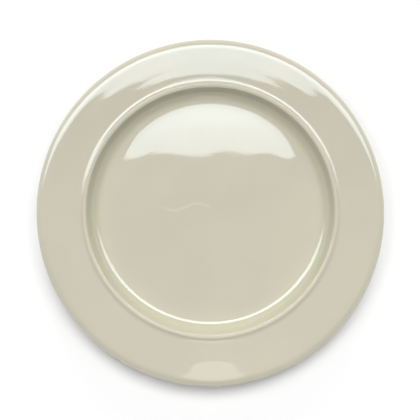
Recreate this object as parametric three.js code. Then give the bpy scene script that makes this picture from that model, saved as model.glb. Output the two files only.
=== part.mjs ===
// A rimmed dinner plate of glazed stoneware, 270 mm across: a flat round floor in a shallow well,
// a small raised ridge round the well's edge, a wide and nearly level rim, and a rounded lip.
// It is one solid of revolution that stands on a foot ring. Millimetres, +Z up, and the origin is
// at the middle of the circle that the foot ring rests on. Slopes are in degrees.

import * as THREE from "three";

// Overall
const plateRadius = 135;
const plateFacets = 96;

// Floor of the well: level out to a circle, then two gentle sweeps up towards the wall
const recessHeight = 3.8;
const floorThickness = 5.4;
const levelFloorRadius = 80.7;
const outerFloorRadius = 110;
const outerFloorSlope = 2.2;
const floorEdgeRadius = 30;
const floorEdgeSlope = 6.5;

// Wall of the well, rolling over into the ridge round its top
const cornerRadius = 9.7;
const wallSlope = 60;
const vergeRadius = 1.4;
const vergeSlope = 9;
const vergeEnd = 97.4;
const ridgeInnerRadius = 1.2;
const ridgeCrestRadius = 99;
const ridgeOuterRadius = 1.2;
const ridgeOuterSlope = -16;
const ridgeFaceEnd = 100.3;
const ridgeFootRadius = 7.5;

// Rim, and the lip that rolls over from its crest to its outermost circle and under
const rimSlope = 5.35;
const lipSweepRadius = 28;
const lipShoulderRadius = 8.6;
const lipShoulderSlope = -34;
const lipEdgeRadius = 1.1;
const lipUnderRadius = 2;

// Underside: below the rim, down the shoulder to the foot ring, and the recess inside the ring
const underRimRadius = 103;
const shoulderRadius = 14;
const shoulderSlope = 34;
const footSideSlope = 70;
const footFilletRadius = 1.6;
const footFilletHeight = 3.2;
const footEdgeRadius = 1;
const footInnerRadius = 80.6;

// How far a facet may lie off a true arc of the outline
const arcTolerance = 0.05;

const glazeColour = 0xcfcab6;
const glazeRoughness = 0.16;

const down = -90;
const inwards = -180;

const radians = THREE.MathUtils.degToRad;
const sine = (degrees) => Math.sin(radians(degrees));
const cosine = (degrees) => Math.cos(radians(degrees));

// Draws an outline in (radius, height) as straight runs and arcs, each of which carries on in the
// direction where the last one ended. Directions are in degrees: 0 is outwards and 90 is up.
class OutlinePen {
  constructor(radius, height) {
    this.points = [new THREE.Vector2(radius, height)];
    this.direction = 0;
  }

  get tip() {
    return this.points[this.points.length - 1];
  }

  runToRadius(radius) {
    const rise = (radius - this.tip.x) * Math.tan(radians(this.direction));
    this.points.push(new THREE.Vector2(radius, this.tip.y + rise));
    return this;
  }

  runToHeight(height) {
    const reach = (height - this.tip.y) / Math.tan(radians(this.direction));
    this.points.push(new THREE.Vector2(this.tip.x + reach, height));
    return this;
  }

  bend(arcRadius, endDirection) {
    const turn = endDirection - this.direction;
    const signedRadius = Math.sign(turn) * arcRadius;
    const centreX = this.tip.x - signedRadius * sine(this.direction);
    const centreY = this.tip.y + signedRadius * cosine(this.direction);
    const facetTurn = 2 * Math.acos(1 - arcTolerance / arcRadius);
    const steps = Math.ceil(radians(Math.abs(turn)) / facetTurn);
    for (let step = 1; step <= steps; step += 1) {
      const direction = this.direction + (turn * step) / steps;
      const x = centreX + signedRadius * sine(direction);
      const y = centreY - signedRadius * cosine(direction);
      this.points.push(new THREE.Vector2(x, y));
    }
    this.direction = endDirection;
    return this;
  }
}

// The width that an arc spans between two directions.
function arcSpan(arcRadius, directionA, directionB) {
  return arcRadius * Math.abs(sine(directionA) - sine(directionB));
}

// The height that an arc spans between two directions.
function arcRise(arcRadius, directionA, directionB) {
  return arcRadius * Math.abs(cosine(directionA) - cosine(directionB));
}

// From the middle of the floor up the wall to the crest of the ridge.
function drawWell(pen) {
  pen
    .runToRadius(levelFloorRadius)
    .bend(outerFloorRadius, outerFloorSlope)
    .bend(floorEdgeRadius, floorEdgeSlope)
    .bend(cornerRadius, wallSlope)
    .runToRadius(vergeEnd - arcSpan(vergeRadius, wallSlope, vergeSlope))
    .bend(vergeRadius, vergeSlope)
    .runToRadius(ridgeCrestRadius - arcSpan(ridgeInnerRadius, vergeSlope, 0))
    .bend(ridgeInnerRadius, 0);
}

// Down the ridge's outer side, across the rim, and round the lip to its underside.
function drawRimAndLip(pen) {
  const lipRoundWidth =
    arcSpan(lipShoulderRadius, 0, lipShoulderSlope) + arcSpan(lipEdgeRadius, lipShoulderSlope, down);
  const lipCrestRadius = plateRadius - lipRoundWidth;
  pen
    .bend(ridgeOuterRadius, ridgeOuterSlope)
    .runToRadius(ridgeFaceEnd)
    .bend(ridgeFootRadius, rimSlope)
    .runToRadius(lipCrestRadius - arcSpan(lipSweepRadius, rimSlope, 0))
    .bend(lipSweepRadius, 0)
    .bend(lipShoulderRadius, lipShoulderSlope)
    .bend(lipEdgeRadius, down)
    .bend(lipUnderRadius, inwards + rimSlope);
}

// Back under the rim, down the shoulder and the foot ring's outer side to its resting face.
function drawShoulderAndFoot(pen) {
  const edgeHeight = arcRise(footEdgeRadius, inwards + footSideSlope, inwards);
  pen
    .runToRadius(underRimRadius)
    .bend(shoulderRadius, inwards + shoulderSlope)
    .runToHeight(footFilletHeight)
    .bend(footFilletRadius, inwards + footSideSlope)
    .runToHeight(edgeHeight)
    .bend(footEdgeRadius, inwards);
}

// Across the resting face, up the foot ring's inner side and along the recess to the axis.
function drawRecess(pen) {
  const upInwards = inwards - footSideSlope;
  pen
    .runToRadius(footInnerRadius)
    .bend(footEdgeRadius, upInwards)
    .runToHeight(recessHeight - arcRise(footFilletRadius, upInwards, inwards))
    .bend(footFilletRadius, inwards)
    .runToRadius(0);
}

function plateOutline() {
  const pen = new OutlinePen(0, recessHeight + floorThickness);
  drawWell(pen);
  drawRimAndLip(pen);
  drawShoulderAndFoot(pen);
  drawRecess(pen);
  return pen.points.reverse();
}

function makePlate() {
  const geometry = new THREE.LatheGeometry(plateOutline(), plateFacets);
  geometry.rotateX(Math.PI / 2);
  const glaze = new THREE.MeshStandardMaterial({
    color: glazeColour,
    roughness: glazeRoughness,
    metalness: 0,
  });
  const plate = new THREE.Mesh(geometry, glaze);
  plate.name = "plate";
  return plate;
}

const dinnerPlate = new THREE.Group();
dinnerPlate.name = "dinner_plate";
dinnerPlate.add(makePlate());

export default dinnerPlate;
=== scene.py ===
import math

import bpy
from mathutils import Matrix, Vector, noise


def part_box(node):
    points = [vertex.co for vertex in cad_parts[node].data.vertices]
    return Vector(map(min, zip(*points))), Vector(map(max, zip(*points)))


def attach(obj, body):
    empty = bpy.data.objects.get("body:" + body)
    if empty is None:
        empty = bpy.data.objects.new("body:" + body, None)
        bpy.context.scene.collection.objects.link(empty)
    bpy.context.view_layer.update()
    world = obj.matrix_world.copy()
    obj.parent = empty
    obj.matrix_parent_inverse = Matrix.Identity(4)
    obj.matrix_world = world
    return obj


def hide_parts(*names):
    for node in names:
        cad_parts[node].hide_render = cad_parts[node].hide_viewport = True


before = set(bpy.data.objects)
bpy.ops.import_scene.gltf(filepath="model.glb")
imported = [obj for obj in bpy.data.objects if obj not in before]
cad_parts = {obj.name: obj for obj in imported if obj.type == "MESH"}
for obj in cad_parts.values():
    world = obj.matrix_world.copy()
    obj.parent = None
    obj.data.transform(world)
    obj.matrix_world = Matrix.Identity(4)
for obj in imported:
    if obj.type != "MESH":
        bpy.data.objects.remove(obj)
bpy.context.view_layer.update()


# ---------------------------------------------------------------------------------------------
# Plate. One piece of stoneware clay, shaped on a turning mould by a profile tool, dipped in an
# ivory glaze and fired standing on its foot ring, where the wet glaze is wiped off first.
# ---------------------------------------------------------------------------------------------

mm = 0.001
plate_low, plate_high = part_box("plate")
plate_radius = plate_high.x
rest_height = plate_low.z

# Floor of the well: level, then two gentle sweeps up to the wall.
recess_height = 3.8 * mm
floor_thickness = 5.4 * mm
floor_top = rest_height + recess_height + floor_thickness
level_floor_radius = 80.7 * mm
outer_floor_radius = 110 * mm
outer_floor_slope = 2.2
floor_edge_radius = 30 * mm
floor_edge_slope = 6.5

# Wall of the well, and the rounded ridge round its top.
corner_radius = 9.7 * mm
wall_slope = 60
verge_radius = 1.4 * mm
verge_slope = 9
verge_end = 97.4 * mm
ridge_inner_radius = 1.2 * mm
ridge_crest_radius = 99 * mm
ridge_outer_radius = 1.2 * mm
ridge_outer_slope = -16
ridge_face_end = 100.3 * mm
ridge_foot_radius = 7.5 * mm

# Rim, and the lip that ends it.
rim_slope = 5.35
lip_sweep_radius = 28 * mm
lip_shoulder_radius = 8.6 * mm
lip_shoulder_slope = -34
lip_edge_radius = 1.1 * mm
lip_under_radius = 2 * mm

# Underside, with the foot ring that the plate stands on.
under_rim_radius = 103 * mm
shoulder_radius = 14 * mm
shoulder_slope = 34
foot_side_slope = 70
foot_fillet_radius = 1.6 * mm
foot_fillet_height = 3.2 * mm
foot_edge_radius = 1 * mm
foot_inner_radius = 80.6 * mm

down = -90
inwards = -180


def sine(degrees):
    return math.sin(math.radians(degrees))


def cosine(degrees):
    return math.cos(math.radians(degrees))


def arc_span(arc_radius, direction_a, direction_b):
    return arc_radius * abs(sine(direction_a) - sine(direction_b))


def arc_rise(arc_radius, direction_a, direction_b):
    return arc_radius * abs(cosine(direction_a) - cosine(direction_b))


class OutlinePen:
    """Draws (radius, height) points as runs and arcs that follow on smoothly from each other."""

    longest_run = 3 * mm
    longest_arc_step = 0.8 * mm
    widest_turn = 4

    def __init__(self, radius, height):
        self.points = [(radius, height)]
        self.direction = 0

    def run_to_radius(self, radius):
        start_radius, start_height = self.points[-1]
        steps = math.ceil(abs(radius - start_radius) / self.longest_run)
        for step in range(1, steps + 1):
            reach = (radius - start_radius) * step / steps
            rise = reach * math.tan(math.radians(self.direction))
            self.points.append((start_radius + reach, start_height + rise))

    def run_to_height(self, height):
        start_radius, start_height = self.points[-1]
        reach = (height - start_height) / math.tan(math.radians(self.direction))
        self.run_to_radius(start_radius + reach)

    def bend(self, arc_radius, end_direction):
        turn = end_direction - self.direction
        signed_radius = math.copysign(arc_radius, turn)
        start_radius, start_height = self.points[-1]
        centre_radius = start_radius - signed_radius * sine(self.direction)
        centre_height = start_height + signed_radius * cosine(self.direction)
        length = arc_radius * math.radians(abs(turn))
        steps = math.ceil(max(abs(turn) / self.widest_turn, length / self.longest_arc_step))
        for step in range(1, steps + 1):
            direction = self.direction + turn * step / steps
            radius = centre_radius + signed_radius * sine(direction)
            height = centre_height - signed_radius * cosine(direction)
            self.points.append((radius, height))
        self.direction = end_direction


def plate_outline():
    """From the middle of the floor, out over ridge, rim and lip, and back under to the axis."""
    pen = OutlinePen(0, floor_top)

    pen.run_to_radius(level_floor_radius)
    pen.bend(outer_floor_radius, outer_floor_slope)
    pen.bend(floor_edge_radius, floor_edge_slope)

    pen.bend(corner_radius, wall_slope)
    pen.run_to_radius(verge_end - arc_span(verge_radius, wall_slope, verge_slope))
    pen.bend(verge_radius, verge_slope)
    pen.run_to_radius(ridge_crest_radius - arc_span(ridge_inner_radius, verge_slope, 0))
    pen.bend(ridge_inner_radius, 0)
    pen.bend(ridge_outer_radius, ridge_outer_slope)
    pen.run_to_radius(ridge_face_end)

    lip_round = arc_span(lip_shoulder_radius, 0, lip_shoulder_slope)
    lip_round += arc_span(lip_edge_radius, lip_shoulder_slope, down)
    lip_crest_radius = plate_radius - lip_round
    pen.bend(ridge_foot_radius, rim_slope)
    pen.run_to_radius(lip_crest_radius - arc_span(lip_sweep_radius, rim_slope, 0))
    pen.bend(lip_sweep_radius, 0)
    pen.bend(lip_shoulder_radius, lip_shoulder_slope)
    pen.bend(lip_edge_radius, down)
    pen.bend(lip_under_radius, inwards + rim_slope)

    foot_edge_height = arc_rise(foot_edge_radius, inwards + foot_side_slope, inwards)
    pen.run_to_radius(under_rim_radius)
    pen.bend(shoulder_radius, inwards + shoulder_slope)
    pen.run_to_height(rest_height + foot_fillet_height)
    pen.bend(foot_fillet_radius, inwards + foot_side_slope)
    pen.run_to_height(rest_height + foot_edge_height)
    pen.bend(foot_edge_radius, inwards)

    up_inwards = inwards - foot_side_slope
    fillet_rise = arc_rise(foot_fillet_radius, up_inwards, inwards)
    pen.run_to_radius(foot_inner_radius)
    pen.bend(foot_edge_radius, up_inwards)
    pen.run_to_height(rest_height + recess_height - fillet_rise)
    pen.bend(foot_fillet_radius, inwards)
    pen.run_to_radius(0)
    return pen.points


# Unevenness of the fired surface, about a tenth of a millimetre in all, which only the
# reflections show: a turned wave on the rim, a floor that falls a little towards its edge, and
# slow swells left by drying, firing and the flow of the glaze, each with its length and height.
rim_wave_length = 10.3 * mm
rim_wave_height = 0.0145 * mm
rim_wave_crest = 107.2 * mm
rim_wave_fade = 4 * mm
floor_fall_start = 68 * mm
floor_fall_end = 82 * mm
floor_fall_depth = 0.11 * mm
swells = ((70 * mm, 0.03 * mm), (24 * mm, 0.034 * mm), (12 * mm, 0.0012 * mm))
swell_place = Vector((3.7, 1.9, 0.4))
floor_swell_length = 28 * mm
floor_swell_height = 0.055 * mm
floor_swell_place = Vector((2.4, 35.1, 0.5))
floor_swell_fade_start = 74 * mm
floor_swell_fade_end = 84 * mm


def ease(value, low, high):
    """0 below low, 1 above high, and a smooth step between them."""
    share = min(1, max(0, (value - low) / (high - low)))
    return share * share * (3 - 2 * share)


def swell(x, y, length, place):
    return noise.noise(Vector((x / length, y / length, 0)) + place)


def unevenness(x, y):
    """The height that firing adds to the turned shape at a place on the plate."""
    radius = math.hypot(x, y)
    on_rim = ease(radius, ridge_crest_radius, ridge_crest_radius + rim_wave_fade)
    on_rim *= 1 - ease(radius, plate_radius - rim_wave_fade, plate_radius)
    wave = math.cos(math.tau * (radius - rim_wave_crest) / rim_wave_length)
    height = on_rim * rim_wave_height * wave
    height -= floor_fall_depth * ease(radius, floor_fall_start, floor_fall_end)
    for length, swell_height in swells:
        height += swell_height * swell(x, y, length, swell_place)
    on_floor = 1 - ease(radius, floor_swell_fade_start, floor_swell_fade_end)
    floor_swell = swell(x, y, floor_swell_length, floor_swell_place)
    height += on_floor * floor_swell_height * floor_swell
    return height


def lathe(outline, columns):
    """Turns an outline that starts and ends on the axis into vertices and faces.

    Above the foot the unevenness moves the upper face and the underside together.
    """
    rings = outline[1:-1]
    vertices = [Vector((0, 0, outline[0][1] + unevenness(0, 0)))]
    for radius, height in rings:
        for column in range(columns):
            angle = math.tau * column / columns
            x = radius * math.cos(angle)
            y = radius * math.sin(angle)
            lift = unevenness(x, y) if height > rest_height + recess_height else 0
            vertices.append(Vector((x, y, height + lift)))
    vertices.append(Vector((0, 0, outline[-1][1])))

    faces = []
    last_ring = 1 + (len(rings) - 1) * columns
    for column in range(columns):
        following = (column + 1) % columns
        faces.append((0, 1 + column, 1 + following))
        for ring in range(len(rings) - 1):
            inner = 1 + ring * columns
            outer = inner + columns
            faces.append((inner + column, outer + column, outer + following, inner + following))
        faces.append((last_ring + column, len(vertices) - 1, last_ring + following))
    return vertices, faces


plate_columns = 384
plate_vertices, plate_faces = lathe(plate_outline(), plate_columns)
plate_mesh = bpy.data.meshes.new("stoneware_plate")
plate_mesh.from_pydata(plate_vertices, [], plate_faces)
plate_mesh.update()
plate_mesh.shade_smooth()
plate = bpy.data.objects.new("stoneware_plate", plate_mesh)
bpy.context.scene.collection.objects.link(plate)

# Colours: the glaze where even and where thin, painted shade on the wall and in the groove
# outside the ridge, a painted highlight on its inner edge, then the clay, the pale streak and
# the specks.
ivory = (0.580, 0.552, 0.444, 1)
ivory_thin = (0.602, 0.566, 0.450, 1)
ivory_wall_shade = (0.566, 0.546, 0.412, 1)
ivory_groove_shade = (0.520, 0.490, 0.375, 1)
ivory_ridge_highlight = (0.622, 0.595, 0.478, 1)
bare_clay = (0.42, 0.33, 0.23, 1)
pale_streak = (0.66, 0.665, 0.54, 1)
iron_speck = (0.30, 0.25, 0.17, 1)
glaze_ior = 1.5

glaze = bpy.data.materials.new("ivory_glaze")
glaze.use_nodes = True
nodes = glaze.node_tree.nodes
links = glaze.node_tree.links
shader = nodes["Principled BSDF"]
shader.inputs["IOR"].default_value = glaze_ior


def node_value(node_type, settings, inputs, output=0):
    """Adds a node with its settings, and fills or links its inputs by name or number."""
    node = nodes.new(node_type)
    for name, value in settings.items():
        setattr(node, name, value)
    for key, value in inputs.items():
        if isinstance(value, bpy.types.NodeSocket):
            links.new(value, node.inputs[key])
        else:
            node.inputs[key].default_value = value
    return node.outputs[output]


def math_value(operation, *values):
    return node_value("ShaderNodeMath", {"operation": operation}, dict(enumerate(values)))


def step_value(value, low, high, low_result=0.0, high_result=1.0):
    """A smooth step from low_result to high_result as value goes from low to high."""
    settings = {"interpolation_type": "SMOOTHSTEP"}
    inputs = {"Value": value, "From Min": low, "From Max": high}
    inputs.update({"To Min": low_result, "To Max": high_result})
    return node_value("ShaderNodeMapRange", settings, inputs)


def noise_value(vector, scale, detail, rough=0.5):
    inputs = {"Vector": vector, "Scale": scale, "Detail": detail, "Roughness": rough}
    return node_value("ShaderNodeTexNoise", {}, inputs)


def band_value(value, middle, half_width, strength=1.0):
    """strength where value is at middle, and 0 from half_width off it to either side."""
    reach = math_value("ABSOLUTE", math_value("SUBTRACT", value, middle))
    return step_value(reach, 0.0, half_width, strength, 0.0)


def blend_colour(factor, colour_a, colour_b):
    """colour_a where factor is 0, and colour_b where it is 1."""
    # A mix node's input 0 is its factor, 6 and 7 are its colours, and output 2 is the result.
    inputs = {0: factor, 6: colour_a, 7: colour_b}
    return node_value("ShaderNodeMix", {"data_type": "RGBA"}, inputs, 2)


def bump_value(relief, relief_height, normal=None):
    """A relief of the given height, laid over any relief that is in normal already."""
    inputs = {"Strength": 1.0, "Distance": relief_height, "Height": relief}
    if normal is not None:
        inputs["Normal"] = normal
    return node_value("ShaderNodeBump", {}, inputs)


place = node_value("ShaderNodeTexCoord", {}, {}, "Object")
place_parts = nodes.new("ShaderNodeSeparateXYZ")
links.new(place, place_parts.inputs["Vector"])
across = place_parts.outputs["X"]
along = place_parts.outputs["Y"]
height = place_parts.outputs["Z"]
flat_place = node_value("ShaderNodeCombineXYZ", {}, {"X": across, "Y": along})
radius = node_value("ShaderNodeVectorMath", {"operation": "LENGTH"}, {0: flat_place}, "Value")

# The glaze varies a little in thickness. Painted shade darkens and yellows the wall of the well
# and darkens the groove outside the ridge; a painted highlight makes the ridge's inner edge
# pale.
cloud_scale = 22
wall_shade_start = (85 * mm, 91 * mm)
wall_shade_end = (95.5 * mm, 98 * mm)
groove_radius = 99.9 * mm
groove_half_width = 1.5 * mm
groove_shade_strength = 0.4
ridge_highlight_radius = verge_end + 0.7 * mm
ridge_highlight_half_width = 1.1 * mm
clouds = noise_value(place, cloud_scale, 3)
colour = blend_colour(step_value(clouds, 0.35, 0.65), ivory, ivory_thin)
# Painted shade: a darker, yellower colour on the wall of the well.
past_start = step_value(radius, *wall_shade_start)
before_end = step_value(radius, *wall_shade_end, 1.0, 0.0)
colour = blend_colour(math_value("MULTIPLY", past_start, before_end), colour, ivory_wall_shade)
# Painted shade: a darker line in the groove outside the ridge.
groove_shade = band_value(radius, groove_radius, groove_half_width, groove_shade_strength)
colour = blend_colour(groove_shade, colour, ivory_groove_shade)
# Painted highlight: a paler line on the ridge's inner edge.
ridge_highlight = band_value(radius, ridge_highlight_radius, ridge_highlight_half_width)
colour = blend_colour(ridge_highlight, colour, ivory_ridge_highlight)

# A few iron specks, most of them too small to notice: the middles of a few of many cells.
speck_cell_scale = 160
speck_reach = (0.03, 0.07)
speck_choice_range = (0.985, 1.0)
speck_strength = 0.5
speck_cells = nodes.new("ShaderNodeTexVoronoi")
links.new(place, speck_cells.inputs["Vector"])
speck_cells.inputs["Scale"].default_value = speck_cell_scale
speck = step_value(speck_cells.outputs["Distance"], *speck_reach, 1.0, 0.0)
speck_choice = node_value("ShaderNodeSeparateColor", {}, {0: speck_cells.outputs["Color"]}, 0)
chosen = step_value(speck_choice, *speck_choice_range, 0.0, speck_strength)
colour = blend_colour(math_value("MULTIPLY", speck, chosen), colour, iron_speck)

# A thin pale streak in a wavering S across the middle of the floor.
streak_radians_per_metre = 165.0
streak_wave_shift = 3.3
streak_wave_height = 3 * mm
streak_middle = 2.2 * mm
streak_drift_scale = 60
streak_drift = 3 * mm
streak_half_width = 1.9 * mm
streak_start = (-42 * mm, -30 * mm)
streak_end = (-7 * mm, 3 * mm)
streak_fade_below_floor = 1 * mm
streak_strength = 0.55
wave = math_value("MULTIPLY_ADD", across, streak_radians_per_metre, streak_wave_shift)
wave = math_value("SINE", wave)
streak_line = math_value("MULTIPLY_ADD", wave, streak_wave_height, streak_middle)
drift = math_value("SUBTRACT", noise_value(place, streak_drift_scale, 2), 0.5)
streak_line = math_value("MULTIPLY_ADD", drift, streak_drift, streak_line)
streak = band_value(along, streak_line, streak_half_width)
past_start = step_value(across, *streak_start)
before_end = step_value(across, *streak_end, 1.0, 0.0)
streak = math_value("MULTIPLY", streak, math_value("MULTIPLY", past_start, before_end))
on_floor = step_value(height, floor_top - streak_fade_below_floor, floor_top)
streak = math_value("MULTIPLY", streak, on_floor)
colour = blend_colour(math_value("MULTIPLY", streak, streak_strength), colour, pale_streak)

# Bare clay where the foot ring was wiped, up to an edge that wanders.
wiped_height = rest_height + 0.7 * mm
wiped_wander = 0.5 * mm
wiped_wander_scale = 180
wiped_edge_half_width = 0.15 * mm
wander = noise_value(place, wiped_wander_scale, 2)
wiped_edge = math_value("MULTIPLY_ADD", wander, wiped_wander, wiped_height)
above_edge = math_value("SUBTRACT", height, wiped_edge)
wiped = step_value(above_edge, -wiped_edge_half_width, wiped_edge_half_width, 1.0, 0.0)
colour = blend_colour(wiped, colour, bare_clay)
links.new(colour, shader.inputs["Base Color"])

# The glaze is glossy, a little less so on the pale streak, and the bare clay is dull.
gloss_cloud_scale = 45
glaze_roughness = (0.022, 0.045)
streak_roughness = 0.1
clay_roughness = 0.7
gloss_clouds = noise_value(place, gloss_cloud_scale, 4)
roughness = step_value(gloss_clouds, 0.3, 0.7, *glaze_roughness)
roughness = math_value("MULTIPLY_ADD", streak, streak_roughness, roughness)
roughness = math_value("MULTIPLY_ADD", wiped, clay_roughness, roughness)
links.new(roughness, shader.inputs["Roughness"])

# Fine turning rings that follow the rim, orange peel, and a grain in the bare clay. The rings
# are noise that is wound round the plate: slow along a ring and quick from ring to ring.
ring_noise_round = 6.0
ring_noise_per_metre = 300.0
ring_height = 0.011 * mm
peel_scale = 260
peel_height = 0.003 * mm
grain_scale = 2500
grain_height = 0.05 * mm
angle = math_value("ARCTAN2", along, across)
ring_inputs = {
    "X": math_value("MULTIPLY", math_value("COSINE", angle), ring_noise_round),
    "Y": math_value("MULTIPLY", math_value("SINE", angle), ring_noise_round),
    "Z": math_value("MULTIPLY", radius, ring_noise_per_metre),
}
ring_place = node_value("ShaderNodeCombineXYZ", {}, ring_inputs)
surface = bump_value(noise_value(ring_place, 1.0, 4, 0.6), ring_height)
surface = bump_value(noise_value(place, peel_scale, 3), peel_height, surface)
grain = math_value("MULTIPLY", noise_value(place, grain_scale, 3), wiped)
surface = bump_value(grain, grain_height, surface)
links.new(surface, shader.inputs["Normal"])

plate_mesh.materials.append(glaze)
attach(plate, "root")
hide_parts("plate")


# ---------------------------------------------------------------------------------------------
# Table. A round board, painted matt white, that the plate stands on. It is wide enough for its
# edge to be lost against the white walls of the studio.
# ---------------------------------------------------------------------------------------------

table_radius = 1.1
table_columns = 96
table_colour = (0.97, 0.97, 0.97, 1)
table_roughness = 0.9
table_specular = 0.1
table_mesh = bpy.data.meshes.new("white_table")
table_rim = []
for column in range(table_columns):
    turn = math.tau * column / table_columns
    corner = (table_radius * math.cos(turn), table_radius * math.sin(turn), rest_height)
    table_rim.append(corner)
table_mesh.from_pydata(table_rim, [], [tuple(range(table_columns))])
table = bpy.data.objects.new("white_table", table_mesh)
bpy.context.scene.collection.objects.link(table)
board = bpy.data.materials.new("white_board")
board.use_nodes = True
board_shader = board.node_tree.nodes["Principled BSDF"]
board_shader.inputs["Base Color"].default_value = table_colour
board_shader.inputs["Roughness"].default_value = table_roughness
board_shader.inputs["Specular IOR Level"].default_value = table_specular
table_mesh.materials.append(board)


# ---------------------------------------------------------------------------------------------
# Reflected light. A big softbox behind the plate, brightest in its middle, and a small dim
# panel in front give the glaze its highlights. They show in reflections only.
# ---------------------------------------------------------------------------------------------


def add_panel(name, shape, size, centre, colour, radiance):
    """A level panel of light that shows in reflections only. Returns its lamp."""
    lamp = bpy.data.lights.new(name, "AREA")
    lamp.shape = shape
    lamp.size, lamp.size_y = size
    lamp.color = colour
    area = size[0] * size[1]
    if shape == "ELLIPSE":
        area *= math.pi / 4
    lamp.energy = math.pi * area * radiance
    panel = bpy.data.objects.new(name, lamp)
    panel.location = centre
    panel.visible_diffuse = False
    panel.visible_camera = False
    bpy.context.scene.collection.objects.link(panel)
    return lamp


def dim_towards_edges(lamp, edge_share, edge_reach):
    """Dims a panel from its full light in the middle to edge_share of it.

    edge_reach, as a share of the panel's sides, is how far off the middle that is reached.
    """
    lamp.use_nodes = True
    panel_nodes = lamp.node_tree.nodes
    panel_links = lamp.node_tree.links
    geometry = panel_nodes.new("ShaderNodeNewGeometry")
    off_middle = panel_nodes.new("ShaderNodeVectorMath")
    off_middle.operation = "SUBTRACT"
    off_middle.inputs[1].default_value = (0.5, 0.5, 0)
    reach = panel_nodes.new("ShaderNodeVectorMath")
    reach.operation = "LENGTH"
    fall = panel_nodes.new("ShaderNodeMapRange")
    fall.interpolation_type = "SMOOTHSTEP"
    fall.inputs["From Max"].default_value = edge_reach
    fall.inputs["To Min"].default_value = 1
    fall.inputs["To Max"].default_value = edge_share
    panel_links.new(geometry.outputs["Parametric"], off_middle.inputs[0])
    panel_links.new(off_middle.outputs["Vector"], reach.inputs[0])
    panel_links.new(reach.outputs["Value"], fall.inputs["Value"])
    panel_links.new(fall.outputs["Result"], panel_nodes["Emission"].inputs["Strength"])


softbox_near = 0.352
softbox_far = 1.10
softbox_width = 3.0
softbox_left = 0.15
softbox_above_floor = 1.6
softbox_colour = (0.87, 1.0, 1.08)
softbox_radiance = 11.0
softbox_edge_share = 0.5
softbox_edge_reach = 0.62
softbox_size = (softbox_width, softbox_far - softbox_near)
softbox_middle = (softbox_near + softbox_far) / 2
softbox_centre = (-softbox_left, softbox_middle, floor_top + softbox_above_floor)
softbox = add_panel(
    "softbox", "RECTANGLE", softbox_size, softbox_centre, softbox_colour, softbox_radiance
)
dim_towards_edges(softbox, softbox_edge_share, softbox_edge_reach)

small_panel_size = (0.08, 0.156)
small_panel_centre = (0.004, -0.200, floor_top + 0.3)
small_panel_colour = (1, 1, 1)
small_panel_radiance = 2.2
add_panel(
    "small_panel",
    "ELLIPSE",
    small_panel_size,
    small_panel_centre,
    small_panel_colour,
    small_panel_radiance,
)


# ---------------------------------------------------------------------------------------------
# Shading light. Large round lamps, far enough off to light plate and table evenly, with a small
# one nearer in front. They are left out of the reflections.
# ---------------------------------------------------------------------------------------------

# Name, compass bearing and angle from the vertical in degrees, distance, diameter, radiance.
shading_lamps = (
    ("key", 90, 30, 12.0, 6.4, 8.0),
    ("key_left", 130, 40, 12.0, 4.8, 2.2),
    ("key_right", 50, 40, 12.0, 4.8, 3.5),
    ("left", 180, 40, 12.0, 4.8, 4.6),
    ("right", 0, 40, 12.0, 4.8, 3.1),
    ("front", -90, 40, 1.2, 0.48, 2.15),
    ("low_back", 90, 75, 12.0, 4.8, 5.6),
)
for name, compass, from_vertical, distance, size, radiance in shading_lamps:
    lamp = bpy.data.lights.new(name, "AREA")
    lamp.shape = "DISK"
    lamp.size = size
    lamp.energy = radiance * math.pi * math.pi * size * size / 4
    towards = Vector((cosine(compass), sine(compass), 0)) * sine(from_vertical)
    towards.z = cosine(from_vertical)
    lamp_object = bpy.data.objects.new(name, lamp)
    lamp_object.location = towards * distance
    lamp_object.rotation_euler = towards.to_track_quat("Z", "Y").to_euler()
    lamp_object.visible_glossy = False
    bpy.context.scene.collection.objects.link(lamp_object)


# ---------------------------------------------------------------------------------------------
# Studio. White walls all round, which light the plate faintly. In the glaze's reflections they
# are bright near the horizon, most of all in front, and dim overhead.
# ---------------------------------------------------------------------------------------------

wall_colour = (1, 1, 1, 1)
wall_light = 0.08
backdrop_brightness = 1.0
reflected_front = 2.4
reflected_back = 0.9
reflected_overhead = 0.25
overhead_start = 0.8
studio = bpy.data.worlds.new("studio")
studio.use_nodes = True
studio_nodes = studio.node_tree.nodes
studio_links = studio.node_tree.links

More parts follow.
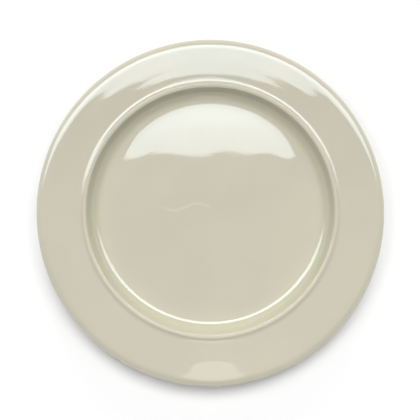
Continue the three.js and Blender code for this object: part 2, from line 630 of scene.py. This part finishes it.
# How bright a reflected wall is: from front to back at the horizon, then up to overhead.
direction = studio_nodes.new("ShaderNodeTexCoord")
direction_parts = studio_nodes.new("ShaderNodeSeparateXYZ")
at_horizon = studio_nodes.new("ShaderNodeMapRange")
at_horizon.inputs["From Min"].default_value = -1
at_horizon.inputs["To Min"].default_value = reflected_front
at_horizon.inputs["To Max"].default_value = reflected_back
at_height = studio_nodes.new("ShaderNodeMapRange")
at_height.interpolation_type = "SMOOTHSTEP"
at_height.inputs["From Max"].default_value = overhead_start
at_height.inputs["To Max"].default_value = reflected_overhead
studio_links.new(direction.outputs["Generated"], direction_parts.inputs["Vector"])
studio_links.new(direction_parts.outputs["Y"], at_horizon.inputs["Value"])
studio_links.new(direction_parts.outputs["Z"], at_height.inputs["Value"])
studio_links.new(at_horizon.outputs["Result"], at_height.inputs["To Min"])

# That for reflections, the backdrop's own white where it is seen, and a faint light otherwise.
ray = studio_nodes.new("ShaderNodeLightPath")
in_reflections = studio_nodes.new("ShaderNodeMapRange")
in_reflections.inputs["To Min"].default_value = wall_light
in_view = studio_nodes.new("ShaderNodeMapRange")
in_view.inputs["To Max"].default_value = backdrop_brightness
studio_links.new(ray.outputs["Is Glossy Ray"], in_reflections.inputs["Value"])
studio_links.new(at_height.outputs["Result"], in_reflections.inputs["To Max"])
studio_links.new(ray.outputs["Is Camera Ray"], in_view.inputs["Value"])
studio_links.new(in_reflections.outputs["Result"], in_view.inputs["To Min"])
background = studio_nodes["Background"]
studio_links.new(in_view.outputs["Result"], background.inputs["Strength"])
background.inputs["Color"].default_value = wall_colour
bpy.context.scene.world = studio


# ---------------------------------------------------------------------------------------------
# Camera. Above the plate and a little in front of it, looking down at the floor of the well, a
# hair left and in front of its middle.
# ---------------------------------------------------------------------------------------------

camera_distance = 0.400
camera_tilt = 4.4
camera_lens = 43.16
camera_clip_start = 0.01
camera_aim = Vector((-0.26 * mm, -0.48 * mm, floor_top))
camera_data = bpy.data.cameras.new("camera")
camera_data.lens = camera_lens
camera_data.clip_start = camera_clip_start
camera = bpy.data.objects.new("camera", camera_data)
camera_back = Vector((0, -sine(camera_tilt), cosine(camera_tilt)))
camera.location = camera_aim + camera_back * camera_distance
camera.rotation_euler = (math.radians(camera_tilt), 0, 0)
bpy.context.scene.collection.objects.link(camera)
bpy.context.scene.camera = camera
bpy.context.scene.view_settings.view_transform = "Standard"
